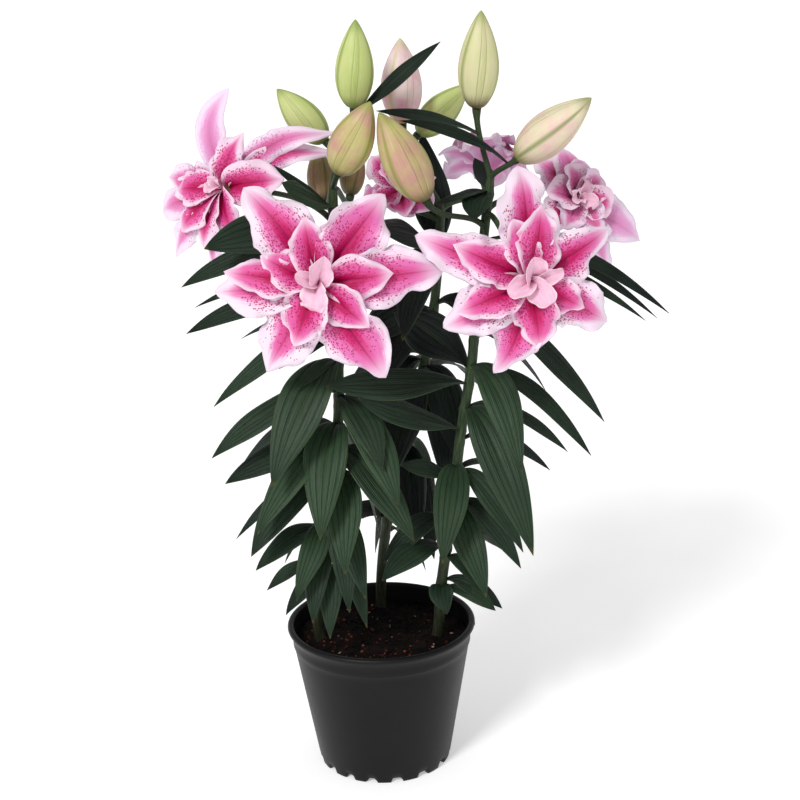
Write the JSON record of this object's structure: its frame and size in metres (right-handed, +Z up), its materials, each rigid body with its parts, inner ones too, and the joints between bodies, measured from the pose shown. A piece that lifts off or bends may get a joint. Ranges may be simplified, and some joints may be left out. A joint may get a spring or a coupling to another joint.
{
  "type": "potted oriental lily",
  "caption": "Potted oriental lily with double pink spotted flowers, closed buds and narrow green leaves on tall stems in a round black nursery pot.",
  "frame": {"origin": "middle of the pot's flat underside, on the surface that it stands on", "axes": "+Z up along the pot's axis, -Y to the front, where the two largest flowers face, +X to the right as seen from the front"},
  "size_m": [0.4785, 0.288, 0.753],
  "materials": {
    "pot_plastic": "black moulded plastic with a satin rim and fine mould marks",
    "potting_soil": "dark moist peat with reddish fibres and pale specks",
    "bulb_scales": "pale cream overlapping scales",
    "stem_green": "smooth green stem, purple-brown low down",
    "leaf_green": "dark green satin leaf with sunken parallel veins and a yellow-brown tip",
    "petals": "velvety petal, white at the edge, pink and then deep magenta towards the midrib, with crimson spots",
    "heart_petals": "pale pink curled small petals",
    "green_bud": "smooth yellow-green bud with low ribs",
    "olive_bud": "smooth olive bud with pinkish ribs",
    "pink_bud": "smooth white and pink bud with cream ribs",
    "cream_bud": "smooth cream bud flushed pink, with yellow-green ribs"
  },
  "bodies": {
    "root": {"pot": "pot_plastic", "soil": "potting_soil", "left_bulb": "bulb_scales", "middle_bulb": "bulb_scales", "right_bulb": "bulb_scales", "left_stem": "stem_green", "middle_stem": "stem_green", "right_stem": "stem_green", "left_leaves_1": "leaf_green", "left_leaves_2": "leaf_green", "left_leaves_3": "leaf_green", "left_leaves_4": "leaf_green", "left_leaves_5": "leaf_green", "left_leaves_6": "leaf_green", "left_leaves_7": "leaf_green", "left_leaves_8": "leaf_green", "left_leaves_9": "leaf_green", "middle_leaves_1": "leaf_green", "middle_leaves_2": "leaf_green", "middle_leaves_3": "leaf_green", "middle_leaves_4": "leaf_green", "middle_leaves_5": "leaf_green", "right_leaves_1": "leaf_green", "right_leaves_2": "leaf_green", "right_leaves_3": "leaf_green", "right_leaves_4": "leaf_green", "right_leaves_5": "leaf_green", "right_leaves_6": "leaf_green", "right_leaves_7": "leaf_green", "right_leaves_8": "leaf_green", "left_stalk_leaf": "leaf_green", "right_stalk_leaf_1": "leaf_green", "right_stalk_leaf_2": "leaf_green", "bud_1": "green_bud", "bud_2": "pink_bud", "bud_3": "cream_bud", "bud_4": "green_bud", "bud_5": "cream_bud", "bud_6": "cream_bud", "bud_7": "cream_bud", "bud_8": "green_bud", "bud_9": "olive_bud", "bud_10": "olive_bud", "flower_front_left_outer_petals": "petals", "flower_front_left_inner_petals": "petals", "flower_front_left_heart": "heart_petals", "flower_front_right_outer_petals": "petals", "flower_front_right_inner_petals": "petals", "flower_front_right_heart": "heart_petals", "flower_left_outer_petals": "petals", "flower_left_inner_petals": "petals", "flower_left_heart": "heart_petals", "flower_back_left_outer_petals": "petals", "flower_back_left_inner_petals": "petals", "flower_back_outer_petals": "petals", "flower_back_inner_petals": "petals", "flower_back_heart": "heart_petals", "flower_right_outer_petals": "petals", "flower_right_inner_petals": "petals", "flower_right_heart": "heart_petals"}
  },
  "joints": []
}
